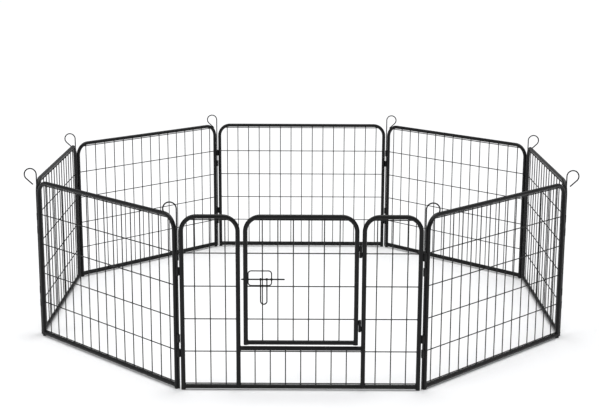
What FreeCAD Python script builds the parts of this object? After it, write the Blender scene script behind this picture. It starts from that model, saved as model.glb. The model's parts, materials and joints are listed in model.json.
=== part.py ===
import FreeCAD, Part
import os
from math import cos, pi, radians, sin, sqrt, tan

from FreeCAD import Placement, Rotation, Vector

os.makedirs("parts", exist_ok=True)

# Eight equal wire panels are pinned corner to corner into a regular octagon. Millimetres throughout.
# World frame: origin on the floor at the middle of the pen, +Z up, the gate panel on the -Y side.
# Panel frame: x runs from the left pin axis (seen from outside) to the right one, y points into
# the pen, z is up and 0 is the floor.

# Panels, in order round the pen, and the tubes they are made of
panel_names = ["front", "front_right", "right", "back_right", "back", "back_left", "left", "front_left"]
panel_width = 800.0
panel_height = 602.0
tube_radius = 7.5
tube_wall = 1.2
bend_radius = 50.0
rail_height = 11.5
pin_offset = 13.5

# Wire grid: columns stand inside the tube axes and rows lie in front of the columns
wire_radius = 1.85
panel_columns = 15
column_pitch = 50.8
column_depth = 5.4
row_pitch = 112.4
row_depth = 1.9
first_row = 21.5
row_count = 6

# End caps that plug the uprights and stand on the floor
cap_height = 3.0
cap_stem = 12.0
cap_chamfer = 0.8
cap_gap = 0.05

# Sleeves welded to the uprights and the drop pins that run through them
sleeve_radius = 5.2
sleeve_bore = 2.7
sleeve_length = 28.0
strap_thickness = 3.0
left_sleeve_heights = [128.0, 409.5]
right_sleeve_heights = [178.5, 460.5]
pin_radius = 2.4
pin_foot = 2.0
pin_top = 644.5
loop_radius = 22.0
loop_sweep = 230.0
loop_tail = 32.0

# Pins by corner, starting at the left end of the front panel
pin_names = ["front_left", "front_right", "right_front", "right_back"]
pin_names += ["back_right", "back_left", "left_back", "left_front"]

# Doorway in the front panel and the gate that fills it
doorway_width = 415.0
threshold_height = 145.5
lower_columns = 7
section_columns = 3
gate_gap = 24.75
gate_rail_height = 165.8
gate_columns = 6

# Gate hinges: a knuckle on the gate sits on a knuckle on the post, with a pin pressed into the lower one
hinge_heights = [224.0, 478.0]
knuckle_radius = 4.5
knuckle_length = 20.5
knuckle_gap = 0.5
hinge_pin_radius = 2.2
hinge_pin_reach = 17.0
hinge_pin_play = 0.05
weld_width = 4.0
weld_inset = 2.0

# Slide bolt, stored drawn back: bolt_throw is how far it moves left to lock
bolt_radius = 2.5
bolt_length = 144.4
bolt_height = 384.0
bolt_depth = -3.15
bolt_throw = 35.0
bolt_past_post = 17.4
bolt_play = 0.3
collar_radius = 3.5
collar_width = 1.5

# Keeper: a rounded wire rectangle on the gate, with an eye that guides the bolt's tail
keeper_wire = 2.0
keeper_width = 77.2
keeper_low = 361.6
keeper_high = 411.5
keeper_corner = 10.0
keeper_depth = 1.7
keeper_inset = 0.6
eye_radius = 4.0
eye_length = 6.0
eye_play = 0.1

# U-shaped handle that hangs from the bolt on two ears
handle_wire = 2.2
handle_width = 20.9
handle_drop = 87.2
handle_from_bolt_end = 74.8
ear_radius = 4.6
ear_width = 5.0
ear_play = 0.1
ear_gap = 0.3

# Worked out from the driving dimensions
panel_count = len(panel_names)
step_angle = 360.0 / panel_count
pin_pitch = panel_width - 2 * tube_radius + 2 * pin_offset
pen_radius = pin_pitch / (2 * sin(pi / panel_count))
left_upright = pin_offset
right_upright = pin_pitch - pin_offset
panel_middle = pin_pitch / 2
left_post = panel_middle - doorway_width / 2
right_post = panel_middle + doorway_width / 2
gate_left = left_post + gate_gap
gate_right = right_post - gate_gap
gate_foot = gate_rail_height - tube_radius
hinge_axis = right_post - gate_gap / 2
bore_radius = tube_radius - tube_wall
row_heights = [first_row + row_pitch * index for index in range(row_count)]
bolt_start = left_post - tube_radius - bolt_past_post + bolt_throw
handle_middle = bolt_start + handle_from_bolt_end


def bar(start, end, radius):
    run = end - start
    return Part.makeCylinder(radius, run.Length, start, run)


def upright_bar(x, low, high, radius, y=0.0):
    return bar(Vector(x, y, low), Vector(x, y, high), radius)


def level_bar(left, right, height, radius, y=0.0):
    return bar(Vector(left, y, height), Vector(right, y, height), radius)


def arc(centre, radius, start_angle, end_angle, side=1):
    # An arc in a plane of constant y; angles in degrees from +x towards +z, mirrored in x by side -1
    def point(angle):
        turn = radians(angle)
        return centre + Vector(side * radius * cos(turn), 0, radius * sin(turn))

    return Part.Arc(point(start_angle), point((start_angle + end_angle) / 2), point(end_angle)).toShape()


def line(start, end):
    return Part.makeLine(start, end)


def swept(edges, radius):
    first = edges[0]
    start = first.valueAt(first.FirstParameter)
    along = first.tangentAt(first.FirstParameter)
    profile = Part.Wire(Part.makeCircle(radius, start, along))
    return Part.Wire(edges).makePipeShell([profile], True, True)


def hoop_path(left, right, left_foot, right_foot):
    # Up the left leg, round both top bends and down the right leg
    top = panel_height - tube_radius
    spring = top - bend_radius
    left_centre = Vector(left + bend_radius, 0, spring)
    right_centre = Vector(right - bend_radius, 0, spring)
    return [
        line(Vector(left, 0, left_foot), Vector(left, 0, spring)),
        arc(left_centre, bend_radius, 180, 90),
        line(Vector(left + bend_radius, 0, top), Vector(right - bend_radius, 0, top)),
        arc(right_centre, bend_radius, 90, 0),
        line(Vector(right, 0, spring), Vector(right, 0, right_foot)),
    ]


def hoop(left, right, left_foot, right_foot):
    path = hoop_path(left, right, left_foot, right_foot)
    return swept(path, tube_radius).cut(swept(path, bore_radius))


def rail(left, right, height):
    # A hollow rail, coped to fit between two uprights
    tube = level_bar(left, right, height, tube_radius).cut(level_bar(left, right, height, bore_radius))
    for x in (left, right):
        tube = tube.cut(upright_bar(x, height - bend_radius, height + bend_radius, tube_radius))
    return tube


def bend_inset(height):
    # How far the hoop's centreline has moved in from its leg at this height
    rise = height - (panel_height - tube_radius - bend_radius)
    return bend_radius - sqrt(bend_radius**2 - rise**2) if rise > 0 else 0.0


def bend_height(distance):
    # Height of the hoop's centreline at this distance in from its leg
    top = panel_height - tube_radius
    if distance >= bend_radius:
        return top
    return top - bend_radius + sqrt(bend_radius**2 - (bend_radius - distance) ** 2)


def columns_between(left, right, count):
    first = (left + right - column_pitch * (count - 1)) / 2
    return [first + column_pitch * index for index in range(count)]


def grid_wires(left, right, columns, rows, low, frame, high=None):
    # Columns run from the rail at low up to the hoop, or to the rail at high. Every wire is
    # trimmed by the frame's outside.
    wires = []
    for x in columns:
        top = high if high else bend_height(min(x - left, right - x))
        wires.append(upright_bar(x, low, top, wire_radius, column_depth))
    for z in rows:
        inset = 0.0 if high else bend_inset(z)
        wires.append(level_bar(left + inset, right - inset, z, wire_radius, row_depth))
    return [wire.cut(frame).Solids[0] for wire in wires]


def wire_grid(*layout):
    # The wires of a panel as one piece, welded where they cross
    wires = grid_wires(*layout)
    return wires[0].multiFuse(wires[1:])


def frame_outside(left, right, low, high=None):
    # The solid outside shape of a hoop with its bottom rail, or of two uprights with two rails
    rails = [level_bar(left, right, low, tube_radius)]
    if high:
        legs = [upright_bar(x, low, high, tube_radius) for x in (left, right)]
        rails.append(level_bar(left, right, high, tube_radius))
        return legs[0].multiFuse(legs[1:] + rails)
    return swept(hoop_path(left, right, low, low), tube_radius).multiFuse(rails)


def end_cap(x):
    disc = upright_bar(x, 0, cap_height, tube_radius)
    rim = [edge for edge in disc.Edges if edge.BoundBox.ZMax < cap_height / 2]
    disc = disc.makeChamfer(cap_chamfer, rim)
    stem = upright_bar(x, cap_height, cap_height + cap_stem, bore_radius - cap_gap)
    return disc.fuse(stem)


def sleeve(pin_x, upright_x, height):
    # A barrel on the pin axis with a flat strap to the upright it is welded to
    low = height - sleeve_length / 2
    barrel = upright_bar(pin_x, low, low + sleeve_length, sleeve_radius)
    corner = Vector(min(pin_x, upright_x), -strap_thickness / 2, low)
    strap = Part.makeBox(abs(upright_x - pin_x), strap_thickness, sleeve_length, corner)
    body = barrel.fuse(strap)
    body = body.cut(upright_bar(pin_x, low, low + sleeve_length, sleeve_bore))
    return body.cut(upright_bar(upright_x, low, low + sleeve_length, tube_radius))


def panel_sleeves():
    left = [sleeve(0.0, left_upright, height) for height in left_sleeve_heights]
    right = [sleeve(pin_pitch, right_upright, height) for height in right_sleeve_heights]
    return Part.makeCompound(left + right)


def drop_pin(side):
    # A straight rod whose top is bent into an open loop on one side, with a tail slanting back
    bend_start = pin_top - pin_radius - loop_radius
    centre = Vector(side * loop_radius, 0, bend_start)
    loop = arc(centre, loop_radius, 180, 180 - loop_sweep, side)
    tail_start = loop.valueAt(loop.LastParameter)
    tail_run = loop.tangentAt(loop.LastParameter) * loop_tail
    rod = line(Vector(0, 0, pin_foot), Vector(0, 0, bend_start))
    return swept([rod, loop, line(tail_start, tail_start + tail_run)], pin_radius)


def knuckle(height, side, tube_x, bore):
    # side -1 is the lower knuckle on the post, +1 the upper one on the gate
    near = height + side * knuckle_gap / 2
    far = height + side * knuckle_length
    low, high = min(near, far), max(near, far)
    body = upright_bar(hinge_axis, low, high, knuckle_radius)
    web_low = low + weld_inset
    web_length = high - low - 2 * weld_inset
    corner = Vector(min(hinge_axis, tube_x), -weld_width / 2, web_low)
    web = Part.makeBox(abs(tube_x - hinge_axis), weld_width, web_length, corner)
    body = body.fuse(web)
    body = body.cut(upright_bar(hinge_axis, height - hinge_pin_reach, height + hinge_pin_reach, bore))
    return body.cut(upright_bar(tube_x, low, high, tube_radius))


def keeper(grid):
    # A closed wire loop lying in front of the grid's columns, trimmed where it is welded to them
    left = gate_left + sqrt(tube_radius**2 - keeper_depth**2) + keeper_wire - keeper_inset
    right = left + keeper_width
    inner_left, inner_right = left + keeper_corner, right - keeper_corner
    inner_low, inner_high = keeper_low + keeper_corner, keeper_high - keeper_corner

    def point(x, z):
        return Vector(x, keeper_depth, z)

    path = [
        line(point(right, inner_low), point(right, inner_high)),
        arc(point(inner_right, inner_high), keeper_corner, 0, 90),
        line(point(inner_right, keeper_high), point(inner_left, keeper_high)),
        arc(point(inner_left, inner_high), keeper_corner, 90, 180),
        line(point(left, inner_high), point(left, inner_low)),
        arc(point(inner_left, inner_low), keeper_corner, 180, 270),
        line(point(inner_left, keeper_low), point(inner_right, keeper_low)),
        arc(point(inner_right, inner_low), keeper_corner, 270, 360),
    ]
    start, end = right - eye_length / 2, right + eye_length / 2
    loop = swept(path, keeper_wire).fuse(level_bar(start, end, bolt_height, eye_radius, bolt_depth))
    loop = loop.cut(level_bar(start, end, bolt_height, bolt_radius + eye_play, bolt_depth))
    leg = upright_bar(gate_left, keeper_low - keeper_corner, keeper_high + keeper_corner, tube_radius)
    return loop.cut(leg).cut(grid)


def slide_bolt():
    rod = level_bar(bolt_start, bolt_start + bolt_length, bolt_height, bolt_radius, bolt_depth)
    reach = handle_width / 2 - ear_width / 2 - ear_gap
    for start in (handle_middle - reach, handle_middle + reach - collar_width):
        collar = level_bar(start, start + collar_width, bolt_height, collar_radius, bolt_depth)
        rod = rod.fuse(collar)
    return rod


def bolt_handle():
    half = handle_width / 2
    left, right = handle_middle - half, handle_middle + half
    bend = bolt_height - handle_drop + handle_wire + half
    centre = Vector(handle_middle, bolt_depth, bend)
    path = [
        line(Vector(left, bolt_depth, bolt_height), Vector(left, bolt_depth, bend)),
        arc(centre, half, 180, 360),
        line(Vector(right, bolt_depth, bend), Vector(right, bolt_depth, bolt_height)),
    ]
    shape = swept(path, handle_wire)
    for x in (left, right):
        start, end = x - ear_width / 2, x + ear_width / 2
        shape = shape.fuse(level_bar(start, end, bolt_height, ear_radius, bolt_depth))
    bore = level_bar(left - ear_width, right + ear_width, bolt_height, bolt_radius + ear_play, bolt_depth)
    return shape.cut(bore)


def corner(index):
    # Pin axis at the left end of panel index, on the floor
    turn = radians(step_angle * index - 90 - step_angle / 2)
    return Vector(pen_radius * cos(turn), pen_radius * sin(turn), 0)


def save(shape, node, index=0):
    # Stand a shape made in the panel frame at its place round the pen and write it
    turn = Rotation(Vector(0, 0, 1), step_angle * index)
    placed = shape.copy()
    placed.Placement = Placement(corner(index), turn)
    placed.exportStep("parts/" + node + ".step")
    print(node, len(placed.Solids), "solids", placed.isValid(), round(placed.Volume))


def make_plain_panels():
    columns = columns_between(left_upright, right_upright, panel_columns)
    outside = frame_outside(left_upright, right_upright, rail_height)
    pieces = {
        "hoop": hoop(left_upright, right_upright, cap_height, cap_height),
        "bottom_rail": rail(left_upright, right_upright, rail_height),
        "grid": wire_grid(left_upright, right_upright, columns, row_heights, rail_height, outside),
        "sleeves": panel_sleeves(),
        "end_caps": Part.makeCompound([end_cap(left_upright), end_cap(right_upright)]),
    }
    for index in range(1, panel_count):
        for piece, shape in pieces.items():
            save(shape, panel_names[index] + "_" + piece, index)


def make_front_panel():
    start, end = left_post - 2 * tube_radius, gate_left + 2 * tube_radius
    bolt_hole = level_bar(start, end, bolt_height, bolt_radius + bolt_play, bolt_depth)
    rail_outside = level_bar(left_upright, right_upright, rail_height, tube_radius)
    left_hoop = hoop(left_upright, left_post, cap_height, rail_height).cut(rail_outside).cut(bolt_hole)
    right_hoop = hoop(right_post, right_upright, rail_height, cap_height).cut(rail_outside)
    save(left_hoop, "gate_panel_left_hoop")
    save(right_hoop, "gate_panel_right_hoop")
    save(rail(left_upright, right_upright, rail_height), "gate_panel_bottom_rail")
    save(rail(left_post, right_post, threshold_height), "gate_panel_threshold_rail")

    grids = []
    for left, right in ((left_upright, left_post), (right_post, right_upright)):
        columns = columns_between(left, right, section_columns)
        outside = frame_outside(left, right, rail_height)
        grids.append(wire_grid(left, right, columns, row_heights, rail_height, outside))
    columns = columns_between(left_post, right_post, lower_columns)
    outside = frame_outside(left_post, right_post, rail_height, threshold_height)
    rows = [z for z in row_heights if z < threshold_height]
    grids.append(wire_grid(left_post, right_post, columns, rows, rail_height, outside, threshold_height))
    save(Part.makeCompound(grids), "gate_panel_grids")

    save(panel_sleeves(), "gate_panel_sleeves")
    save(Part.makeCompound([end_cap(left_upright), end_cap(right_upright)]), "gate_panel_end_caps")
    lower = [knuckle(height, -1, right_post, hinge_pin_radius) for height in hinge_heights]
    save(Part.makeCompound(lower), "gate_panel_hinge_knuckles")
    pins = []
    for height in hinge_heights:
        low, high = height - hinge_pin_reach, height + hinge_pin_reach - knuckle_gap
        pins.append(upright_bar(hinge_axis, low, high, hinge_pin_radius))
    save(Part.makeCompound(pins), "gate_panel_hinge_pins")
    return bolt_hole


def make_gate(bolt_hole):
    frame = hoop(gate_left, gate_right, gate_foot, gate_foot).cut(bolt_hole)
    save(frame, "gate_hoop")
    save(rail(gate_left, gate_right, gate_rail_height), "gate_bottom_rail")
    columns = columns_between(gate_left, gate_right, gate_columns)
    rows = [z for z in row_heights if z > gate_rail_height]
    outside = frame_outside(gate_left, gate_right, gate_rail_height)
    grid = Part.makeCompound(grid_wires(gate_left, gate_right, columns, rows, gate_rail_height, outside))
    save(grid, "gate_grid")
    upper = [knuckle(height, 1, gate_right, hinge_pin_radius + hinge_pin_play) for height in hinge_heights]
    save(Part.makeCompound(upper), "gate_hinge_knuckles")
    save(keeper(grid), "latch_keeper")
    save(slide_bolt(), "latch_bolt")
    save(bolt_handle(), "latch_handle")


def make_pins():
    for index, name in enumerate(pin_names):
        side = -1 if corner(index).x < 0 else 1
        pin = drop_pin(side)
        pin.Placement = Placement(corner(index), Rotation())
        pin.exportStep("parts/pin_" + name + ".step")
        print("pin", name, pin.isValid(), round(pin.Volume))


make_plain_panels()
make_gate(make_front_panel())
make_pins()
print("pin pitch", round(pin_pitch, 2), "pen radius", round(pen_radius, 2))
print("apothem", round(pin_pitch / (2 * tan(pi / panel_count)), 2))
print("hinge axis", round(hinge_axis - panel_middle, 2))
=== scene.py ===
import json
from math import cos, pi, radians, sin, sqrt

import bpy
import numpy as np
from mathutils import Matrix, Vector


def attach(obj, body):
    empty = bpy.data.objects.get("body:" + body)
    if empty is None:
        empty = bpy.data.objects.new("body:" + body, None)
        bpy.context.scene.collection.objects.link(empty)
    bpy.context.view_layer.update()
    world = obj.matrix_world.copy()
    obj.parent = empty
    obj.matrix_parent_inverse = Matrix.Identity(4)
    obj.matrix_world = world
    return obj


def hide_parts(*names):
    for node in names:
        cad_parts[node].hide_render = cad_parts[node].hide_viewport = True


# Wire pet pen: eight panels in a ring, a gate in the front one, loose pins at the corners.
# Metres, z up. The ring stands round the origin and the gate panel is on the -y side.
# Panel frame: x from the left pin to the right pin seen from outside, y into the pen, z up.

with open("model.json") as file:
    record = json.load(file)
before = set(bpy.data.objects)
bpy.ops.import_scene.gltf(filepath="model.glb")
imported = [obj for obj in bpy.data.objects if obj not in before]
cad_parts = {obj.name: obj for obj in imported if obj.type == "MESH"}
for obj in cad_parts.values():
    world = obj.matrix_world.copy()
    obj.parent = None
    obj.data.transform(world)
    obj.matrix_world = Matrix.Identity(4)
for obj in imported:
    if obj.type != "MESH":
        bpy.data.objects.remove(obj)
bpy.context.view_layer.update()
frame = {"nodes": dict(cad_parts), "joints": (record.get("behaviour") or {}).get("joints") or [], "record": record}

ring = {
    "bodies": ["gate_panel", "panel_front_right", "panel_right", "panel_back_right",
               "panel_back", "panel_back_left", "panel_left", "panel_front_left"],
    "turn": 45.0,           # degrees from one panel to the next
    "firstHinge": "corner_front_right_hinge",
}
panel = {
    "tube": 0.0075,         # outside radius of every frame tube
    "pinGap": 0.0135,       # pin axis to upright axis
    "top": 0.602,
    "bend": 0.050,
    "rail": 0.0115,         # height of the bottom rail's axis
    "wire": 0.00185,
    "pitch": 0.0508,        # between columns
    "columns": 15,
    "columnDepth": 0.0054,
    "rowDepth": 0.0019,
    "firstRow": 0.0215,
    "rowPitch": 0.1124,
    "rows": 6,
}
doorway = {
    "width": 0.415,
    "threshold": 0.1455,
    "sectionColumns": 3,
    "lowerColumns": 7,
    "gateGap": 0.02475,
    "gateRail": 0.1658,
    "gateColumns": 6,
}

hinges = {joint["name"]: joint for joint in frame["joints"]}
firstCorner = np.array(hinges[ring["firstHinge"]]["pos_m"]) * (1, 1, 0)
pinPitch = 2 * firstCorner[0]
leftUpright, rightUpright = panel["pinGap"], pinPitch - panel["pinGap"]
leftPost = pinPitch / 2 - doorway["width"] / 2
rightPost = pinPitch / 2 + doorway["width"] / 2
gateLeft, gateRight = leftPost + doorway["gateGap"], rightPost - doorway["gateGap"]
hingeX = rightPost - doorway["gateGap"] / 2
rowHeights = panel["firstRow"] + panel["rowPitch"] * np.arange(panel["rows"])


def turned(points, degrees):
    # x' = x cos - y sin, y' = x sin + y cos
    c, s = cos(radians(degrees)), sin(radians(degrees))
    x, y, z = points[..., 0], points[..., 1], points[..., 2]
    return np.stack([x * c - y * s, x * s + y * c, z], -1)


def onPanel(points, index):
    # the panel's own turn about z, then its left corner, which is the first corner turned back one step
    corner = turned(firstCorner, ring["turn"] * (index - 1))
    return turned(np.asarray(points, float), ring["turn"] * index) + corner


def unit(vectors):
    return vectors / np.linalg.norm(vectors, axis=-1, keepdims=True)


def shellFaces(shells, rings, sides, closed=False):
    # quads between neighbouring rings of every shell, plus a flat face on each open end
    start = np.arange(shells)[:, None, None] * rings * sides
    steps = rings if closed else rings - 1
    row = (np.arange(steps)[None, :, None] * sides)
    nextRow = ((np.arange(steps) + 1) % rings)[None, :, None] * sides
    side = np.arange(sides)[None, None, :]
    nextSide = (side + 1) % sides
    quads = np.stack([start + row + side, start + row + nextSide,
                      start + nextRow + nextSide, start + nextRow + side], -1).reshape(-1, 4)
    if closed:
        return quads.tolist()
    first = start[:, 0] + np.arange(sides)[None, ::-1]
    last = start[:, 0] + (rings - 1) * sides + np.arange(sides)[None, :]
    return quads.tolist() + first.tolist() + last.tolist()


def makePiece(name, parts, body, material, standsFor=(), smoothAngle=40):
    # parts are (points as shells x rings x sides x 3, closed or not, wear 0..1 on each point)
    points, faces, worn, count = [], [], [], 0
    for grid, closed, wear in parts:
        shells, rings, sides = grid.shape[:3]
        flat = shellFaces(shells, rings, sides, closed)
        faces += [[corner + count for corner in face] for face in flat]
        points.append(grid.reshape(-1, 3))
        worn.append(np.broadcast_to(wear, grid.shape[:3]).reshape(-1))
        count += shells * rings * sides
    points, worn = np.concatenate(points), np.concatenate(worn)
    mesh = bpy.data.meshes.new(name)
    mesh.from_pydata(points.tolist(), [], faces)
    mesh.attributes.new("rubbed", "FLOAT", "POINT").data.foreach_set("value", worn.astype(np.float32))
    mesh.validate()
    mesh.shade_smooth()
    mesh.set_sharp_from_angle(angle=radians(smoothAngle))
    mesh.materials.append(material)
    piece = bpy.data.objects.new(name, mesh)
    bpy.context.scene.collection.objects.link(piece)
    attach(piece, body)
    if standsFor:
        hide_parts(*standsFor)
    return piece


def sweptTube(path, radius, sides, reference, closed=False):
    # circle of the given radius carried along the path; the ring's first axis is the reference
    # direction with its share along the tangent taken away, the second is tangent x first
    path = np.asarray(path, float)
    if closed:
        tangent = unit(np.roll(path, -1, 0) - np.roll(path, 1, 0))
    else:
        tangent = unit(np.gradient(path, axis=0))
    reference = np.broadcast_to(np.asarray(reference, float), path.shape)
    first = unit(reference - (reference * tangent).sum(-1, keepdims=True) * tangent)
    second = np.cross(tangent, first)
    angle = np.linspace(0, 2 * pi, sides, endpoint=False)
    radius = np.broadcast_to(radius, len(path))[:, None, None]
    across, over = np.cos(angle)[None, :, None], np.sin(angle)[None, :, None]
    circle = across * first[:, None] + over * second[:, None]
    return (path[:, None] + radius * circle)[None]


def alongPath(corners, step):
    # evenly spaced points along straight runs between the given corners
    corners = np.asarray(corners, float)
    lengths = np.linalg.norm(np.diff(corners, axis=0), axis=-1)
    pieces = [np.linspace(a, b, max(2, int(length / step) + 1), endpoint=False)
              for a, b, length in zip(corners[:-1], corners[1:], lengths)]
    return np.concatenate(pieces + [corners[-1:]])


def arcPoints(centre, radius, startDegrees, endDegrees, count, side=1):
    # arc in a plane of constant y, from +x towards +z, mirrored in x by side -1
    turn = np.radians(np.linspace(startDegrees, endDegrees, count))
    return np.stack([centre[0] + side * radius * np.cos(turn), np.full(count, centre[1]),
                     centre[2] + radius * np.sin(turn)], -1)


def roundedEnds(path, radius, steps=5):
    # the ends of a rod become quarter circles: radius r sin t at a distance r (1 - cos t) from the tip
    path = np.asarray(path, float)
    turn = np.linspace(0.12, pi / 2, steps)
    startWay, endWay = unit(path[1] - path[0]), unit(path[-2] - path[-1])
    startCap = path[0] + startWay * (radius * (1 - np.cos(turn)))[:, None]
    endCap = (path[-1] + endWay * (radius * (1 - np.cos(turn)))[:, None])[::-1]
    fromStart = np.linalg.norm(path - path[0], axis=-1)
    fromEnd = np.linalg.norm(path - path[-1], axis=-1)
    middle = path[(fromStart > radius * 1.05) & (fromEnd > radius * 1.05)]
    cap = radius * np.sin(turn)
    radii = np.concatenate([cap, np.full(len(middle), radius), cap[::-1]])
    return np.concatenate([startCap, middle, endCap]), radii


def lathe(profile, centre, axis, sides):
    # profile rows are (distance along the axis, radius); every row becomes a circle about the axis
    profile = np.asarray(profile, float)
    along, across = {"x": ((1, 0, 0), (0, 1, 0)), "z": ((0, 0, 1), (1, 0, 0))}[axis]
    along, across = np.array(along, float), np.array(across, float)
    other = np.cross(along, across)
    angle = np.linspace(0, 2 * pi, sides, endpoint=False)
    circle = np.cos(angle)[:, None] * across + np.sin(angle)[:, None] * other
    rings = profile[:, :1, None] * along + profile[:, 1:, None] * circle[None]
    return (np.asarray(centre, float) + rings)[None]


def softBarrel(low, high, outer, bore, soft, steps=4):
    # closed profile of a barrel: outside up, over a rounded rim, down the bore and round again
    turn = np.linspace(0, pi / 2, steps)
    topOut = np.stack([high - soft + soft * np.sin(turn), outer - soft + soft * np.cos(turn)], -1)
    bottomOut = np.stack([low + soft - soft * np.cos(turn), outer - soft + soft * np.sin(turn)], -1)
    rim = soft * 0.5
    topIn = [[high, bore + rim], [high - rim, bore]]
    bottomIn = [[low + rim, bore], [low, bore + rim]]
    return np.concatenate([bottomOut, topOut, topIn, bottomIn])


def rimWear(profile, low, high, reach):
    # 1 at either end of a barrel, falling to 0 a short way in
    nearest = np.minimum(np.abs(profile[:, 0] - low), np.abs(profile[:, 0] - high))
    return np.clip(1 - nearest / reach, 0, 1)[None, :, None]


def softPlate(start, end, thickness, low, high, soft, steps=4):
    # upright plate from start to end in x: a rounded rectangle in y and z carried along x
    turn = np.linspace(0, pi / 2, steps)
    half = thickness / 2
    quarter = np.stack([np.cos(turn), np.sin(turn)], -1) * soft
    cornersYZ = [(half - soft, high - soft), (soft - half, high - soft),
                 (soft - half, low + soft), (half - soft, low + soft)]
    outline = []
    for k, centre in enumerate(cornersYZ):
        c, s = cos(k * pi / 2), sin(k * pi / 2)
        outline.append(centre + quarter @ np.array([[c, s], [-s, c]]))
    outline = np.concatenate(outline)
    x = np.linspace(min(start, end), max(start, end), 3)
    grid = np.empty((3, len(outline), 3))
    grid[..., 0] = x[:, None]
    grid[..., 1:] = outline[None]
    return grid[None]


def socketIn(group, name, default, low=None, high=None):
    socket = group.interface.new_socket(name=name, in_out="INPUT", socket_type="NodeSocketFloat")
    socket.default_value = default
    if low is not None:
        socket.min_value, socket.max_value = low, high
    return socket


def newGroup(name):
    group = bpy.data.node_groups.new(name, "ShaderNodeTree")
    return group, group.nodes.new("NodeGroupInput"), group.nodes.new("NodeGroupOutput")


def mathNode(tree, operation, a, b=None, clamp=False):
    node = tree.nodes.new("ShaderNodeMath")
    node.operation, node.use_clamp = operation, clamp
    for socket, value in zip(node.inputs, (a, b)):
        if value is None:
            continue
        if isinstance(value, (int, float)):
            socket.default_value = value
        else:
            tree.links.new(value, socket)
    return node.outputs[0]


def noiseNode(tree, vector, scale, detail=2.0, rough=0.5):
    node = tree.nodes.new("ShaderNodeTexNoise")
    node.inputs["Detail"].default_value = detail
    node.inputs["Roughness"].default_value = rough
    tree.links.new(vector, node.inputs["Vector"])
    if isinstance(scale, (int, float)):
        node.inputs["Scale"].default_value = scale
    else:
        tree.links.new(scale, node.inputs["Scale"])
    return node.outputs["Fac"]


def spread(tree, value, low, high, toLow=0.0, toHigh=1.0):
    node = tree.nodes.new("ShaderNodeMapRange")
    node.interpolation_type = "SMOOTHSTEP"
    for name, number in (("From Min", low), ("From Max", high), ("To Min", toLow), ("To Max", toHigh)):
        node.inputs[name].default_value = number
    tree.links.new(value, node.inputs["Value"])
    return node.outputs["Result"]


def makeCoatGroup():
    # powder coat: melted orange-peel hills, fine grit on them and broad cloudy changes of gloss
    group, given, result = newGroup("powderCoat")
    socketIn(group, "Peel Scale", 420.0)
    socketIn(group, "Grit Scale", 2600.0)
    socketIn(group, "Grit Share", 0.3, 0, 1)
    for name in ("Height", "Gloss Change", "Cloud"):
        group.interface.new_socket(name=name, in_out="OUTPUT", socket_type="NodeSocketFloat")
    place = group.nodes.new("ShaderNodeTexCoord").outputs["Object"]
    peel = noiseNode(group, place, given.outputs["Peel Scale"], 1.0)
    grit = noiseNode(group, place, given.outputs["Grit Scale"], 2.0)
    height = mathNode(group, "ADD", peel, mathNode(group, "MULTIPLY", grit, given.outputs["Grit Share"]))
    cloud = noiseNode(group, place, 14.0, 3.0)
    group.links.new(height, result.inputs["Height"])
    group.links.new(spread(group, cloud, 0.3, 0.7), result.inputs["Cloud"])
    broad = mathNode(group, "MULTIPLY", mathNode(group, "SUBTRACT", cloud, 0.5), 0.6)
    narrow = mathNode(group, "MULTIPLY", mathNode(group, "SUBTRACT", peel, 0.5), 0.25)
    group.links.new(mathNode(group, "ADD", broad, narrow), result.inputs["Gloss Change"])
    return group


def makeDustGroup():
    # dust mask: faces that look up, more of it near the floor, broken up by noise
    group, given, result = newGroup("settledDust")
    socketIn(group, "Amount", 0.3, 0, 1)
    socketIn(group, "Floor Amount", 0.3, 0, 1)
    group.interface.new_socket(name="Mask", in_out="OUTPUT", socket_type="NodeSocketFloat")
    place = group.nodes.new("ShaderNodeTexCoord").outputs["Object"]
    facing = group.nodes.new("ShaderNodeSeparateXYZ")
    group.links.new(group.nodes.new("ShaderNodeNewGeometry").outputs["Normal"], facing.inputs[0])
    height = group.nodes.new("ShaderNodeSeparateXYZ")
    group.links.new(place, height.inputs[0])
    upward = spread(group, facing.outputs["Z"], 0.25, 0.95)
    low = spread(group, height.outputs["Z"], 0.09, 0.0)
    patch = spread(group, noiseNode(group, place, 90.0, 4.0, 0.65), 0.38, 0.68)
    fine = spread(group, noiseNode(group, place, 1400.0, 2.0), 0.35, 0.7)
    top = mathNode(group, "MULTIPLY", upward, given.outputs["Amount"])
    floor = mathNode(group, "MULTIPLY", low, given.outputs["Floor Amount"])
    broken = mathNode(group, "MULTIPLY", patch, fine)
    both = mathNode(group, "MULTIPLY", mathNode(group, "ADD", top, floor), broken)
    group.links.new(mathNode(group, "MINIMUM", both, 1.0), result.inputs["Mask"])
    return group


def makeWearGroup():
    # rubbed mask: the piece's own rubbed value pushed through noise so that its edge is ragged
    group, given, result = newGroup("rubbedAway")
    socketIn(group, "Amount", 0.5, 0, 1)
    socketIn(group, "Patch Scale", 700.0)
    group.interface.new_socket(name="Mask", in_out="OUTPUT", socket_type="NodeSocketFloat")
    place = group.nodes.new("ShaderNodeTexCoord").outputs["Object"]
    rubbed = group.nodes.new("ShaderNodeAttribute")
    rubbed.attribute_name = "rubbed"
    patch = noiseNode(group, place, given.outputs["Patch Scale"], 4.0, 0.6)
    push = mathNode(group, "MULTIPLY", rubbed.outputs["Fac"], given.outputs["Amount"])
    pushed = mathNode(group, "ADD", push, patch)
    group.links.new(spread(group, pushed, 0.86, 1.02), result.inputs["Mask"])
    return group


coatGroup, dustGroup, wearGroup = makeCoatGroup(), makeDustGroup(), makeWearGroup()

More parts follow.
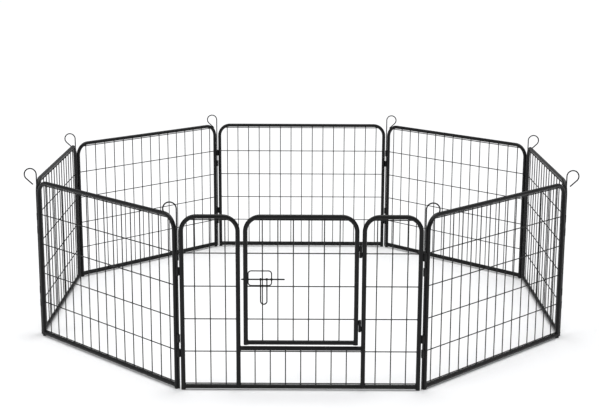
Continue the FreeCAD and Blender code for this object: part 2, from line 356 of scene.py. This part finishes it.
shades = {"dust": (0.23, 0.22, 0.205), "rubbedSteel": (0.30, 0.30, 0.31)}
finishes = {
    "tubeCoat": {"colour": (0.0040, 0.0041, 0.0046), "cloudy": (0.0060, 0.0061, 0.0067), "rough": 0.36,
                 "peel": 420.0, "grit": 2600.0, "gritShare": 0.30, "bump": 0.00012, "dust": 0.04,
                 "floorDust": 0.07, "wear": 0.0, "gloss": 0.20},
    "wireCoat": {"colour": (0.0046, 0.0047, 0.0052), "cloudy": (0.0066, 0.0067, 0.0073), "rough": 0.40,
                 "peel": 760.0, "grit": 3400.0, "gritShare": 0.35, "bump": 0.00007, "dust": 0.03,
                 "floorDust": 0.07, "wear": 0.0, "gloss": 0.20},
    "weldCoat": {"colour": (0.0042, 0.0043, 0.0048), "cloudy": (0.0062, 0.0063, 0.0069), "rough": 0.40,
                 "peel": 900.0, "grit": 3000.0, "gritShare": 0.50, "bump": 0.00016, "dust": 0.04,
                 "floorDust": 0.08, "wear": 0.0, "gloss": 0.20},
    "fittingCoat": {"colour": (0.0040, 0.0041, 0.0046), "cloudy": (0.0060, 0.0061, 0.0067), "rough": 0.37,
                    "peel": 620.0, "grit": 3000.0, "gritShare": 0.35, "bump": 0.00010, "dust": 0.03,
                    "floorDust": 0.0, "wear": 0.30, "gloss": 0.20},
    "pinCoat": {"colour": (0.0044, 0.0045, 0.0050), "cloudy": (0.0064, 0.0065, 0.0071), "rough": 0.34,
                "peel": 700.0, "grit": 3200.0, "gritShare": 0.30, "bump": 0.00008, "dust": 0.03,
                "floorDust": 0.0, "wear": 0.36, "gloss": 0.24},
}


def coatMaterial(name):
    values = finishes[name]
    material = bpy.data.materials.new(name)
    material.use_nodes = True
    tree = material.node_tree
    shader = tree.nodes["Principled BSDF"]
    shader.inputs["Specular IOR Level"].default_value = values["gloss"]
    coat, dust, wear = tree.nodes.new("ShaderNodeGroup"), tree.nodes.new("ShaderNodeGroup"), None
    coat.node_tree, dust.node_tree = coatGroup, dustGroup
    coat.inputs["Peel Scale"].default_value = values["peel"]
    coat.inputs["Grit Scale"].default_value = values["grit"]
    coat.inputs["Grit Share"].default_value = values["gritShare"]
    dust.inputs["Amount"].default_value = values["dust"]
    dust.inputs["Floor Amount"].default_value = values["floorDust"]

    base = mixColour(tree, coat.outputs["Cloud"], values["colour"], values["cloudy"])
    base = mixColour(tree, dust.outputs["Mask"], base, shades["dust"])
    change = mathNode(tree, "MULTIPLY", coat.outputs["Gloss Change"], 0.30)
    dusty = mathNode(tree, "MULTIPLY", dust.outputs["Mask"], 0.4)
    rough = mathNode(tree, "ADD", change, values["rough"])
    rough = mathNode(tree, "ADD", rough, dusty, clamp=True)
    if values["wear"] > 0:
        wear = tree.nodes.new("ShaderNodeGroup")
        wear.node_tree = wearGroup
        wear.inputs["Amount"].default_value = values["wear"]
        base = mixColour(tree, wear.outputs["Mask"], base, shades["rubbedSteel"])
        rough = mathNode(tree, "SUBTRACT", rough, mathNode(tree, "MULTIPLY", wear.outputs["Mask"], 0.08))
        tree.links.new(wear.outputs["Mask"], shader.inputs["Metallic"])
    tree.links.new(base, shader.inputs["Base Color"])
    tree.links.new(rough, shader.inputs["Roughness"])
    bump = tree.nodes.new("ShaderNodeBump")
    bump.inputs["Strength"].default_value = 1.0
    bump.inputs["Distance"].default_value = values["bump"]
    tree.links.new(coat.outputs["Height"], bump.inputs["Height"])
    tree.links.new(bump.outputs["Normal"], shader.inputs["Normal"])
    return material


def mixColour(tree, factor, a, b):
    node = tree.nodes.new("ShaderNodeMix")
    node.data_type = "RGBA"
    tree.links.new(factor, node.inputs[0])
    for socket, value in ((node.inputs[6], a), (node.inputs[7], b)):
        if isinstance(value, tuple):
            socket.default_value = (*value, 1.0)
        else:
            tree.links.new(value, socket)
    return node.outputs[2]


def plasticMaterial():
    # moulded cap: fine spark-eroded grain, scuffed and dusty towards the floor
    values = {"colour": (0.018, 0.018, 0.0185), "scuff": (0.075, 0.074, 0.072), "rough": 0.55,
              "grain": 2200.0, "dust": 0.15, "floorDust": 0.5}
    material = bpy.data.materials.new("capPlastic")
    material.use_nodes = True
    tree = material.node_tree
    shader = tree.nodes["Principled BSDF"]
    shader.inputs["Specular IOR Level"].default_value = 0.45
    place = tree.nodes.new("ShaderNodeTexCoord").outputs["Object"]
    dust = tree.nodes.new("ShaderNodeGroup")
    dust.node_tree = dustGroup
    dust.inputs["Amount"].default_value = values["dust"]
    dust.inputs["Floor Amount"].default_value = values["floorDust"]
    grain = noiseNode(tree, place, values["grain"], 3.0, 0.6)
    scuffed = spread(tree, noiseNode(tree, place, 260.0, 4.0, 0.7), 0.52, 0.75, 0.0, 0.35)
    base = mixColour(tree, scuffed, values["colour"], values["scuff"])
    base = mixColour(tree, dust.outputs["Mask"], base, shades["dust"])
    tree.links.new(base, shader.inputs["Base Color"])
    rough = mathNode(tree, "ADD", mathNode(tree, "MULTIPLY", grain, 0.18), values["rough"] - 0.09)
    tree.links.new(rough, shader.inputs["Roughness"])
    bump = tree.nodes.new("ShaderNodeBump")
    bump.inputs["Distance"].default_value = 0.00012
    tree.links.new(grain, bump.inputs["Height"])
    tree.links.new(bump.outputs["Normal"], shader.inputs["Normal"])
    return material


def zincMaterial():
    # plated steel pin: drawn lines along its length and a few dull spots
    values = {"bright": (0.42, 0.43, 0.45), "dull": (0.22, 0.22, 0.23), "rough": 0.22, "stretch": 0.04}
    material = bpy.data.materials.new("zincPin")
    material.use_nodes = True
    tree = material.node_tree
    shader = tree.nodes["Principled BSDF"]
    shader.inputs["Metallic"].default_value = 1.0
    place = tree.nodes.new("ShaderNodeTexCoord").outputs["Object"]
    stretch = tree.nodes.new("ShaderNodeMapping")
    stretch.inputs["Scale"].default_value = (1.0, 1.0, values["stretch"])
    tree.links.new(place, stretch.inputs["Vector"])
    lines = noiseNode(tree, stretch.outputs["Vector"], 5200.0, 3.0)
    spots = noiseNode(tree, place, 900.0, 4.0, 0.7)
    base = mixColour(tree, spread(tree, spots, 0.5, 0.75), values["bright"], values["dull"])
    rough = mathNode(tree, "ADD", mathNode(tree, "MULTIPLY", lines, 0.3), values["rough"])
    tree.links.new(base, shader.inputs["Base Color"])
    tree.links.new(rough, shader.inputs["Roughness"])
    bump = tree.nodes.new("ShaderNodeBump")
    bump.inputs["Distance"].default_value = 0.00003
    tree.links.new(lines, bump.inputs["Height"])
    tree.links.new(bump.outputs["Normal"], shader.inputs["Normal"])
    return material


tubeCoat, wireCoat, weldCoat, fittingCoat, pinCoat = (coatMaterial(name) for name in finishes)
capPlastic, zincPin = plasticMaterial(), zincMaterial()
slotFinish = {"tube_coat": tubeCoat, "mesh_coat": wireCoat, "fitting_coat": fittingCoat,
              "pin_coat": pinCoat, "cap_plastic": capPlastic, "bare_steel": zincPin}
nodeSlot = {part["node"]: part["material_slot"] for part in frame["record"]["subparts"]}
for nodeName, node in frame["nodes"].items():
    node.data.materials.clear()
    node.data.materials.append(slotFinish[nodeSlot[nodeName]])
print("finishes made:", len(finishes) + 2)


# the wires' welds: a skirt at every end and a lump at every crossing
weld = {
    "spread": 0.0013,       # how far a wire's weld runs out over the tube
    "climb": 0.0022,        # how far it runs up the wire
    "sides": 10,
    "rings": 4,
    "crossWide": 0.0023,    # half width of the lump where two wires cross
    "crossDeep": 0.0016,
}


def bendInset(height):
    rise = np.maximum(height - (panel["top"] - panel["tube"] - panel["bend"]), 0)
    return panel["bend"] - np.sqrt(np.maximum(panel["bend"] ** 2 - rise ** 2, 0))


def bendRise(distance):
    # height of the hoop's centreline at this distance in from its leg, and the slope of the tube there
    reach = np.clip(panel["bend"] - distance, 0, panel["bend"])
    drop = panel["bend"] - np.sqrt(panel["bend"] ** 2 - reach ** 2)
    return panel["top"] - panel["tube"] - drop, np.arcsin(reach / panel["bend"])


def wireEnds(left, right, columns, rows, low, high=None):
    # one row per wire end: where the tube's centreline is, the way the wire leaves it, the way the
    # tube runs, the wire's depth and how far the tube is tilted
    ends = []
    for x in columns:
        ends.append(((x, 0, low), (0, 0, 1), (1, 0, 0), panel["columnDepth"], 0.0))
        if high:
            ends.append(((x, 0, high), (0, 0, -1), (1, 0, 0), panel["columnDepth"], 0.0))
        else:
            near = min(x - left, right - x)
            rise, slope = bendRise(near)
            tilt = -slope if x - left < right - x else slope
            ends.append(((x, 0, float(rise)), (0, 0, -1), (1, 0, 0), panel["columnDepth"], float(tilt)))
    for z in rows:
        inset = 0.0 if high else float(bendInset(z))
        rise = max(z - (panel["top"] - panel["tube"] - panel["bend"]), 0)
        tilt = 0.0 if high else float(np.arcsin(min(rise / panel["bend"], 0.95)))
        ends.append(((left + inset, 0, z), (1, 0, 0), (0, 0, 1), panel["rowDepth"], tilt))
        ends.append(((right - inset, 0, z), (-1, 0, 0), (0, 0, 1), panel["rowDepth"], tilt))
    return ends


def wireWelds(ends):
    # skirt round a wire end: radius grows from the wire's by spread * u while its height over the tube
    # falls as climb * (1 - u) squared, and the tube's own height at depth b and place c is
    # (sqrt(r r - b b) + c sin tilt) / cos tilt
    start, away, run = (np.array([end[k] for end in ends], float)[:, None, None] for k in range(3))
    depth, tilt = (np.array([end[k] for end in ends], float)[:, None, None] for k in (3, 4))
    inward = np.array([0.0, 1.0, 0.0])
    hand = np.sign((away * np.cross(inward, run)).sum(-1))
    u = np.linspace(0, 1, weld["rings"])[None, :, None]
    turn = np.linspace(0, 2 * pi, weld["sides"], endpoint=False)[None, None, :] * hand
    radius = panel["wire"] * 0.97 + weld["spread"] * u
    b = np.minimum(depth + radius * np.cos(turn), panel["tube"] * 0.985)
    c = radius * np.sin(turn) + 0 * b
    over = (np.sqrt(panel["tube"] ** 2 - b ** 2) + c * np.sin(tilt)) / np.cos(tilt)
    a = over + weld["climb"] * (1 - u) ** 2 - 0.0003
    grid = start + a[..., None] * away + b[..., None] * inward + c[..., None] * run
    return grid[:, ::-1]


def crossWelds(columns, rows, left, right, framed):
    # flattened ball on every crossing: x and z wide, y deep, standing between the two wires
    x, z = (part.reshape(-1) for part in np.meshgrid(columns, rows, indexing="ij"))
    if framed:
        inside = np.minimum(x - left, right - x) > bendInset(z) + panel["tube"] + 0.004
        x, z = x[inside], z[inside]
    lift = np.linspace(0.25, pi - 0.25, 5)[None, :, None]
    turn = np.linspace(0, 2 * pi, 8, endpoint=False)[None, None, :]
    middle = (panel["columnDepth"] + panel["rowDepth"]) / 2
    grid = np.empty((len(x), 5, 8, 3))
    grid[..., 0] = x[:, None, None] + weld["crossWide"] * np.sin(lift) * np.cos(turn)
    grid[..., 2] = z[:, None, None] - weld["crossWide"] * np.sin(lift) * np.sin(turn)
    grid[..., 1] = middle - weld["crossDeep"] * np.cos(lift) + 0 * grid[..., 0]
    return grid


def spacedColumns(left, right, count):
    return (left + right - panel["pitch"] * (count - 1)) / 2 + panel["pitch"] * np.arange(count)


def gridWelds(left, right, count, rows, low, high=None):
    columns = spacedColumns(left, right, count)
    return [(wireWelds(wireEnds(left, right, columns, rows, low, high)), False, 0.0),
            (crossWelds(columns, rows, left, right, high is None), False, 0.0)]


def movedParts(parts, index):
    return [(onPanel(grid, index), closed, wear) for grid, closed, wear in parts]


plainWelds = gridWelds(leftUpright, rightUpright, panel["columns"], rowHeights, panel["rail"])
for index in range(1, 8):
    makePiece("wire_welds_" + ring["bodies"][index][6:], movedParts(plainWelds, index),
              ring["bodies"][index], weldCoat)
lowRows = rowHeights[rowHeights < doorway["threshold"]]
gatePanelWelds = gridWelds(leftUpright, leftPost, doorway["sectionColumns"], rowHeights, panel["rail"])
gatePanelWelds += gridWelds(rightPost, rightUpright, doorway["sectionColumns"], rowHeights, panel["rail"])
gatePanelWelds += gridWelds(leftPost, rightPost, doorway["lowerColumns"], lowRows, panel["rail"],
                            doorway["threshold"])
makePiece("wire_welds_gate_panel", movedParts(gatePanelWelds, 0), "gate_panel", weldCoat)
gateWelds = gridWelds(gateLeft, gateRight, doorway["gateColumns"],
                      rowHeights[rowHeights > doorway["gateRail"]], doorway["gateRail"])
makePiece("wire_welds_gate", movedParts(gateWelds, 0), "gate", weldCoat)
print("wire welds made")


# ripple beads where one tube meets another
bead = {"radius": 0.0013, "steps": 72, "sides": 8, "ripples": 22, "ripple": 0.10, "softCorner": 0.0012}


def saddleBead(centre, away, along):
    # bead round a tube's end where it meets another of the same radius: at turn t it is r sin t deep,
    # r cos t to the side and sqrt((r cos t) squared + e squared) out, with e to round the corner
    r, e = panel["tube"], bead["softCorner"]
    turn = np.linspace(0, 2 * pi, bead["steps"], endpoint=False)[:, None]
    away, along = np.array(away, float), np.array(along, float)
    inward = np.array([0.0, 1.0, 0.0])
    out = np.sqrt((r * np.cos(turn)) ** 2 + e ** 2)
    path = np.array(centre, float) + out * away + r * np.sin(turn) * inward + r * np.cos(turn) * along
    radial = np.sin(turn) * inward + np.cos(turn) * along
    size = bead["radius"] * (1 + bead["ripple"] * np.cos(bead["ripples"] * turn[:, 0]))
    return sweptTube(path, size, bead["sides"], radial, closed=True), True, 0.0


def railBeads(left, right, height):
    return [saddleBead((left, 0, height), (1, 0, 0), (0, 0, 1)),
            saddleBead((right, 0, height), (-1, 0, 0), (0, 0, 1))]


def straightBead(start, end, radius, reference, ripples):
    # short fillet bead with rounded ends and a ripple along it
    path = np.linspace(start, end, 40)
    share = np.linspace(0, 1, 40)
    taper = np.sqrt(np.clip(1 - (2 * share - 1) ** 8, 0.02, 1))
    size = radius * taper * (1 + 0.10 * np.cos(2 * pi * ripples * share))
    return sweptTube(path, size, 8, reference), False, 0.0


for index in range(1, 8):
    makePiece("rail_beads_" + ring["bodies"][index][6:],
              movedParts(railBeads(leftUpright, rightUpright, panel["rail"]), index),
              ring["bodies"][index], weldCoat)
postFeet = [saddleBead((x, 0, panel["rail"]), (0, 0, 1), (1, 0, 0)) for x in (leftPost, rightPost)]
makePiece("rail_beads_gate_panel",
          movedParts(railBeads(leftUpright, rightUpright, panel["rail"])
                     + railBeads(leftPost, rightPost, doorway["threshold"]) + postFeet, 0),
          "gate_panel", weldCoat)
makePiece("rail_beads_gate", movedParts(railBeads(gateLeft, gateRight, doorway["gateRail"]), 0),
          "gate", weldCoat)
print("tube beads made")


# sleeves that the drop pins run through
sleeve = {
    "radius": 0.0052, "bore": 0.0027, "length": 0.028, "strap": 0.003, "soft": 0.0006,
    "left": [0.128, 0.4095], "right": [0.1785, 0.4605], "bead": 0.0009,
}


def sleeveParts(pinX, tubeX, height):
    low, high = height - sleeve["length"] / 2, height + sleeve["length"] / 2
    side = 1 if tubeX > pinX else -1
    profile = softBarrel(low, high, sleeve["radius"], sleeve["bore"], sleeve["soft"])
    barrel = lathe(profile, (pinX, 0, 0), "z", 28)
    strapStart = pinX + side * (sleeve["bore"] + 0.0006)
    strapEnd = tubeX - side * (panel["tube"] - 0.0005)
    plate = softPlate(strapStart, strapEnd, sleeve["strap"], low, high, sleeve["soft"])
    parts = [(barrel, True, rimWear(profile, low, high, 0.0012)), (plate, False, 0.0)]
    half = sleeve["strap"] / 2
    tubeEdge = tubeX - side * sqrt(panel["tube"] ** 2 - half ** 2)
    barrelEdge = pinX + side * sqrt(sleeve["radius"] ** 2 - half ** 2)
    for x in (tubeEdge, barrelEdge):
        for face in (-1, 1):
            y = face * (half + 0.0001)
            parts.append(straightBead((x, y, low + 0.001), (x, y, high - 0.001), sleeve["bead"],
                                      (0, face, 0), 11))
    return parts


sleeveSet = [part for height in sleeve["left"] for part in sleeveParts(0.0, leftUpright, height)]
sleeveSet += [part for height in sleeve["right"] for part in sleeveParts(pinPitch, rightUpright, height)]
for index, bodyName in enumerate(ring["bodies"]):
    stem = bodyName if index == 0 else bodyName[6:]
    makePiece("welded_sleeves_" + stem, movedParts(sleeveSet, index), bodyName,
              fittingCoat, [stem + "_sleeves"])
print("sleeves made")


# plastic caps under the uprights
cap = {"radius": 0.0075, "height": 0.003, "soft": 0.0009, "plug": 0.0062, "plugTop": 0.0145,
       "dish": 0.0012}


def capParts(x):
    # profile from the middle of the dished sole, round the rim and up the plug that fills the tube
    turn = np.linspace(-pi / 2, 0, 5)
    rim = np.stack([cap["soft"] + cap["soft"] * np.sin(turn),
                    cap["radius"] - cap["soft"] + cap["soft"] * np.cos(turn)], -1)
    sole = [[cap["dish"], 0.0004], [cap["dish"], 0.0028], [0.0002, 0.0040], [0.0, 0.0046]]
    top = [[cap["height"] - 0.0004, cap["radius"]], [cap["height"] - 0.00005, cap["radius"] - 0.0004],
           [cap["height"] - 0.00005, cap["plug"]], [cap["plugTop"], cap["plug"]], [cap["plugTop"], 0.0004]]
    return lathe(np.concatenate([sole, rim, top]), (x, 0, 0), "z", 32), False, 0.0


for index, bodyName in enumerate(ring["bodies"]):
    stem = bodyName if index == 0 else bodyName[6:]
    pair = movedParts([capParts(leftUpright), capParts(rightUpright)], index)
    makePiece("foot_caps_" + stem, pair, bodyName, capPlastic, [stem + "_end_caps"])
print("caps made")


# drop pins: a rod, an open loop on top and a tail
dropPin = {
    "names": ["front_left", "front_right", "right_front", "right_back",
              "back_right", "back_left", "left_back", "left_front"],
    "radius": 0.0024, "foot": 0.002, "top": 0.6445, "sides": 16,
    "loop": 0.022, "sweep": 230, "tail": 0.032,  # radius, degrees and the straight end
}


def dropPinParts(corner, side):
    # rod up the corner, an open loop over to one side and a straight tail slanting back to the rod
    bendStart = dropPin["top"] - dropPin["radius"] - dropPin["loop"]
    loop = arcPoints((side * dropPin["loop"], 0, bendStart), dropPin["loop"],
                     180, 180 - dropPin["sweep"], 44, side)
    way = unit(loop[-1] - loop[-2])
    rod = np.linspace((0, 0, dropPin["foot"]), (0, 0, bendStart), 120, endpoint=False)
    tail = loop[-1] + way * np.linspace(0, dropPin["tail"], 12)[1:, None]
    path, radii = roundedEnds(np.concatenate([rod, loop, tail]), dropPin["radius"])
    z = path[:, 2]
    rubbed = np.zeros(len(path))
    for height in sleeve["left"] + sleeve["right"]:
        rubbed = np.maximum(rubbed, np.exp(-((z - height) / 0.018) ** 2))
    rubbed = np.maximum(rubbed, np.clip(1 - (z - dropPin["foot"]) / 0.02, 0, 1))
    grid = sweptTube(path, radii, dropPin["sides"], (0, 1, 0)) + corner
    return grid, False, rubbed[None, :, None]


for index, pinName in enumerate(dropPin["names"]):
    corner = turned(firstCorner, ring["turn"] * (index - 1))
    side = -1 if corner[0] < 0 else 1
    makePiece("looped_pin_" + pinName, [dropPinParts(corner, side)], "drop_pin_" + pinName,
              pinCoat, ["pin_" + pinName])
print("drop pins made")


# gate hinges: upper knuckle on the gate, lower one and its pin on the post
knuckle = {
    "heights": [0.224, 0.478], "radius": 0.0045, "length": 0.0205, "gap": 0.0005,
    "web": 0.004, "webInset": 0.002,
    "pin": 0.0022, "play": 0.00005, "reach": 0.017, "soft": 0.0005, "bead": 0.0007,
}


def knuckleParts(height, side, tubeX, bore):
    near, far = height + side * knuckle["gap"] / 2, height + side * knuckle["length"]
    low, high = min(near, far), max(near, far)
    profile = softBarrel(low, high, knuckle["radius"], bore, knuckle["soft"])
    barrel = lathe(profile, (hingeX, 0, 0), "z", 28)
    toward = 1 if tubeX > hingeX else -1
    webLow, webHigh = low + knuckle["webInset"], high - knuckle["webInset"]
    plate = softPlate(hingeX + toward * (bore + 0.0006), tubeX - toward * (panel["tube"] - 0.0005),
                      knuckle["web"], webLow, webHigh, knuckle["soft"])
    parts = [(barrel, True, rimWear(profile, low, high, 0.0012)), (plate, False, 0.0)]
    half = knuckle["web"] / 2
    edge = tubeX - toward * sqrt(panel["tube"] ** 2 - half ** 2)
    for face in (-1, 1):
        y = face * (half + 0.0002)
        parts.append(straightBead((edge, y, webLow), (edge, y, webHigh), knuckle["bead"],
                                  (0, face, 0), 7))
    return parts


lowerKnuckles = [part for height in knuckle["heights"]
                 for part in knuckleParts(height, -1, rightPost, knuckle["pin"])]
upperKnuckles = [part for height in knuckle["heights"]
                 for part in knuckleParts(height, 1, gateRight, knuckle["pin"] + knuckle["play"])]
makePiece("post_knuckles", movedParts(lowerKnuckles, 0), "gate_panel", fittingCoat,
          ["gate_panel_hinge_knuckles"])
makePiece("gate_knuckles", movedParts(upperKnuckles, 0), "gate", fittingCoat,
          ["gate_hinge_knuckles"])
hingePins = []
for height in knuckle["heights"]:
    low, high = height - knuckle["reach"], height + knuckle["reach"] - knuckle["gap"]
    path = np.linspace((hingeX, 0, low), (hingeX, 0, high), 30)
    path, radii = roundedEnds(path, knuckle["pin"])
    hingePins.append((sweptTube(path, radii, 20, (0, 1, 0)), False, 0.0))
makePiece("gate_pivots", movedParts(hingePins, 0), "gate_panel", zincPin,
          ["gate_panel_hinge_pins"])
print("gate hinges made")


# latch: keeper, slide bolt and the handle that hangs from it
latch = {
    "height": 0.384, "depth": -0.00315, "boltRadius": 0.0025, "boltLength": 0.1444,
    "boltStart": leftPost + 0.0101, "handleFromStart": 0.0748, "collar": 0.0035, "collarWidth": 0.0015,
    "handleWidth": 0.0209, "handleDrop": 0.0872, "handleWire": 0.0022, "ear": 0.0046, "earWidth": 0.005,
    "earPlay": 0.0001, "earGap": 0.0003,
    "keeperWire": 0.002, "keeperWidth": 0.0772, "keeperLow": 0.3616, "keeperHigh": 0.4115,
    "keeperCorner": 0.010, "keeperDepth": 0.0017, "keeperInset": 0.0006,
    "eye": 0.004, "eyeLength": 0.006, "eyePlay": 0.0001, "bead": 0.0009,
}
handleX = latch["boltStart"] + latch["handleFromStart"]


def keeperParts():
    r, y = latch["keeperCorner"], latch["keeperDepth"]
    legEdge = gateLeft + sqrt(panel["tube"] ** 2 - y ** 2)
    left = legEdge + latch["keeperWire"] - latch["keeperInset"]
    right = left + latch["keeperWidth"]
    low, high = latch["keeperLow"], latch["keeperHigh"]
    corners = [((right - r, high - r), 0), ((left + r, high - r), 90),
               ((left + r, low + r), 180), ((right - r, low + r), 270)]
    path = []
    for (x, z), start in corners:
        path.append(arcPoints((x, y, z), r, start, start + 90, 12))
    loop = np.concatenate(path)
    loop = np.concatenate([alongPath([a, b], 0.006)[:-1] if np.linalg.norm(b - a) > 0.006 else a[None]
                           for a, b in zip(loop, np.roll(loop, -1, 0))])
    wire = sweptTube(loop, latch["keeperWire"], 14, (0, 1, 0), closed=True)
    profile = softBarrel(-latch["eyeLength"] / 2, latch["eyeLength"] / 2, latch["eye"],
                         latch["boltRadius"] + latch["eyePlay"], 0.0005)
    eye = lathe(profile, (right, latch["depth"], latch["height"]), "x", 24)
    parts = [(wire, True, 0.0), (eye, True, rimWear(profile, -0.003, 0.003, 0.001))]
    x, face = legEdge + 0.0004, y - 0.0013
    for z in (low + 0.014, high - 0.014):  # welds down the gate's leg
        parts.append(straightBead((x, face, z - 0.006), (x, face, z + 0.006), latch["bead"], (0, -1, 0), 6))
    x, face = right - 0.0014, y - 0.0016
    for side in (-1, 1):  # the eye's own welds on the loop
        z = latch["height"] + side * (latch["eye"] - 0.0008)
        parts.append(straightBead((x, face, z - 0.0016), (x, face, z + 0.0016), latch["bead"], (0, -1, 0), 2))
    return parts


def boltParts():
    # rod with bullet ends and two collars that keep the handle's ears in place
    r, length = latch["boltRadius"], latch["boltLength"]
    turn = np.linspace(0.12, pi / 2, 6)
    nose = np.stack([r * (1 - np.cos(turn)) * 1.3, r * np.sin(turn)], -1)
    reach = latch["handleWidth"] / 2 - latch["earWidth"] / 2 - latch["earGap"]
    middle, wide, soft = latch["handleFromStart"], latch["collarWidth"], 0.0003
    rows = [nose]
    for start in (middle - reach, middle + reach - wide):
        end, size = start + wide, latch["collar"]
        rows.append(np.array([[start, r], [start, size - soft], [start + soft, size],
                              [end - soft, size], [end, size - soft], [end, r]]))
    rows.append(np.stack([length - nose[::-1, 0], nose[::-1, 1]], -1))
    profile = np.concatenate(rows)
    fill = np.linspace(0.006, length - 0.006, 60)
    fill = fill[np.abs(fill - middle) > reach + 0.0005]
    profile = np.concatenate([profile, np.stack([fill, np.full(len(fill), r)], -1)])
    profile = profile[np.argsort(profile[:, 0], kind="stable")]
    rod = lathe(profile, (latch["boltStart"], latch["depth"], latch["height"]), "x", 24)
    x = profile[:, 0]
    rubbed = np.maximum(np.clip(1 - x / 0.035, 0, 1), np.exp(-((x - length + 0.035) / 0.022) ** 2))
    return [(rod, False, rubbed[None, :, None])]


def handleParts():
    half, y, z = latch["handleWidth"] / 2, latch["depth"], latch["height"]
    bend = z - latch["handleDrop"] + latch["handleWire"] + half
    left = np.linspace((handleX - half, y, z - 0.0032), (handleX - half, y, bend), 24, endpoint=False)
    turn = arcPoints((handleX, y, bend), half, 180, 360, 28)
    right = np.linspace((handleX + half, y, bend), (handleX + half, y, z - 0.0032), 24)[1:]
    path = np.concatenate([left, turn, right])
    rubbed = np.clip(1 - (path[:, 2] - path[:, 2].min()) / 0.012, 0, 1)
    parts = [(sweptTube(path, latch["handleWire"], 14, (0, 1, 0)), False, rubbed[None, :, None])]
    profile = softBarrel(-latch["earWidth"] / 2, latch["earWidth"] / 2, latch["ear"],
                         latch["boltRadius"] + latch["earPlay"], 0.0007)
    for x in (handleX - half, handleX + half):
        parts.append((lathe(profile, (x, y, z), "x", 26), True, rimWear(profile, -0.0025, 0.0025, 0.001)))
    return parts


for name, parts, bodyName, nodeName in (("keeper_loop", keeperParts(), "gate", "latch_keeper"),
                                        ("slide_bolt", boltParts(), "bolt", "latch_bolt"),
                                        ("bolt_pull", handleParts(), "bolt_handle", "latch_handle")):
    makePiece(name, movedParts(parts, 0), bodyName, fittingCoat, [nodeName])
print("latch made")


# floor, light and camera
studio = {
    "floorSize": 60.0, "floorColour": (0.86, 0.86, 0.865),
    "worldColour": (0.98, 0.99, 1.0), "worldStrength": 0.46, "worldSeen": 1.05,
    "overheadFrom": (0.12, 0.22, 1.0), "overheadWide": 62, "overheadStrength": 2.42,
    "keyPlace": (-4.5, -3.5, 4.5), "keyAim": (0, 0, 0.3), "keySize": (3.0, 2.0), "keyWatts": 90,
}


def makeFloor():
    half = studio["floorSize"]
    mesh = bpy.data.meshes.new("floor")
    corners = [(-half, -half, 0), (half, -half, 0), (half, half, 0), (-half, half, 0)]
    mesh.from_pydata(corners, [], [(0, 1, 2, 3)])
    floor = bpy.data.objects.new("floor", mesh)
    bpy.context.scene.collection.objects.link(floor)
    material = bpy.data.materials.new("paleFloor")
    material.use_nodes = True
    shader = material.node_tree.nodes["Principled BSDF"]
    shader.inputs["Base Color"].default_value = (*studio["floorColour"], 1)
    shader.inputs["Roughness"].default_value = 0.9
    shader.inputs["Specular IOR Level"].default_value = 0.1
    mesh.materials.append(material)


def softLight(name, place, aim, size, watts):
    light = bpy.data.lights.new(name, "AREA")
    light.shape, light.size, light.size_y = "RECTANGLE", size[0], size[1]
    light.energy = watts
    lamp = bpy.data.objects.new(name, light)
    lamp.location = place
    lamp.rotation_euler = (Vector(aim) - Vector(place)).to_track_quat("-Z", "Y").to_euler()
    bpy.context.scene.collection.objects.link(lamp)


def skyLight(name, comingFrom, wide, strength):
    # one broad even light over the whole floor, like a ceiling of softboxes
    light = bpy.data.lights.new(name, "SUN")
    light.energy, light.angle = strength, radians(wide)
    lamp = bpy.data.objects.new(name, light)
    lamp.rotation_euler = Vector(comingFrom).to_track_quat("Z", "Y").to_euler()
    bpy.context.scene.collection.objects.link(lamp)


def makeWorld():
    # dim for the light it gives, bright where it is seen past the floor's far edge
    world = bpy.data.worlds.new("studio")
    world.use_nodes = True
    tree = world.node_tree
    tree.nodes["Background"].inputs["Color"].default_value = (*studio["worldColour"], 1)
    seen = tree.nodes.new("ShaderNodeLightPath").outputs["Is Camera Ray"]
    strength = spread(tree, seen, 0.0, 1.0, studio["worldStrength"], studio["worldSeen"])
    tree.links.new(strength, tree.nodes["Background"].inputs["Strength"])
    bpy.context.scene.world = world


view = {
    "place": (0.0008, -4.9505, 1.5025),
    "yaw": -0.096, "down": 12.546, "roll": 0.208,  # degrees
    "lens": 75.31, "sensor": 36.0,
}


def makeCamera():
    yaw, down, roll = (radians(view[key]) for key in ("yaw", "down", "roll"))
    forward = Vector((sin(yaw) * cos(down), cos(yaw) * cos(down), -sin(down)))
    right = Vector((cos(yaw), -sin(yaw), 0))
    up = right.cross(forward)
    right, up = right * cos(roll) + up * sin(roll), up * cos(roll) - right * sin(roll)
    camera = bpy.data.cameras.new("camera")
    camera.lens, camera.sensor_width = view["lens"], view["sensor"]
    camera.clip_end = 200.0
    eye = bpy.data.objects.new("camera", camera)
    turn = Matrix((right, up, -forward)).transposed().to_4x4()
    eye.matrix_world = Matrix.Translation(view["place"]) @ turn
    bpy.context.scene.collection.objects.link(eye)
    bpy.context.scene.camera = eye


makeFloor()
skyLight("overhead", studio["overheadFrom"], studio["overheadWide"], studio["overheadStrength"])
softLight("keyLeft", studio["keyPlace"], studio["keyAim"], studio["keySize"], studio["keyWatts"])
makeWorld()
bpy.context.scene.view_settings.view_transform = "Standard"
makeCamera()
print("floor, light and camera made")
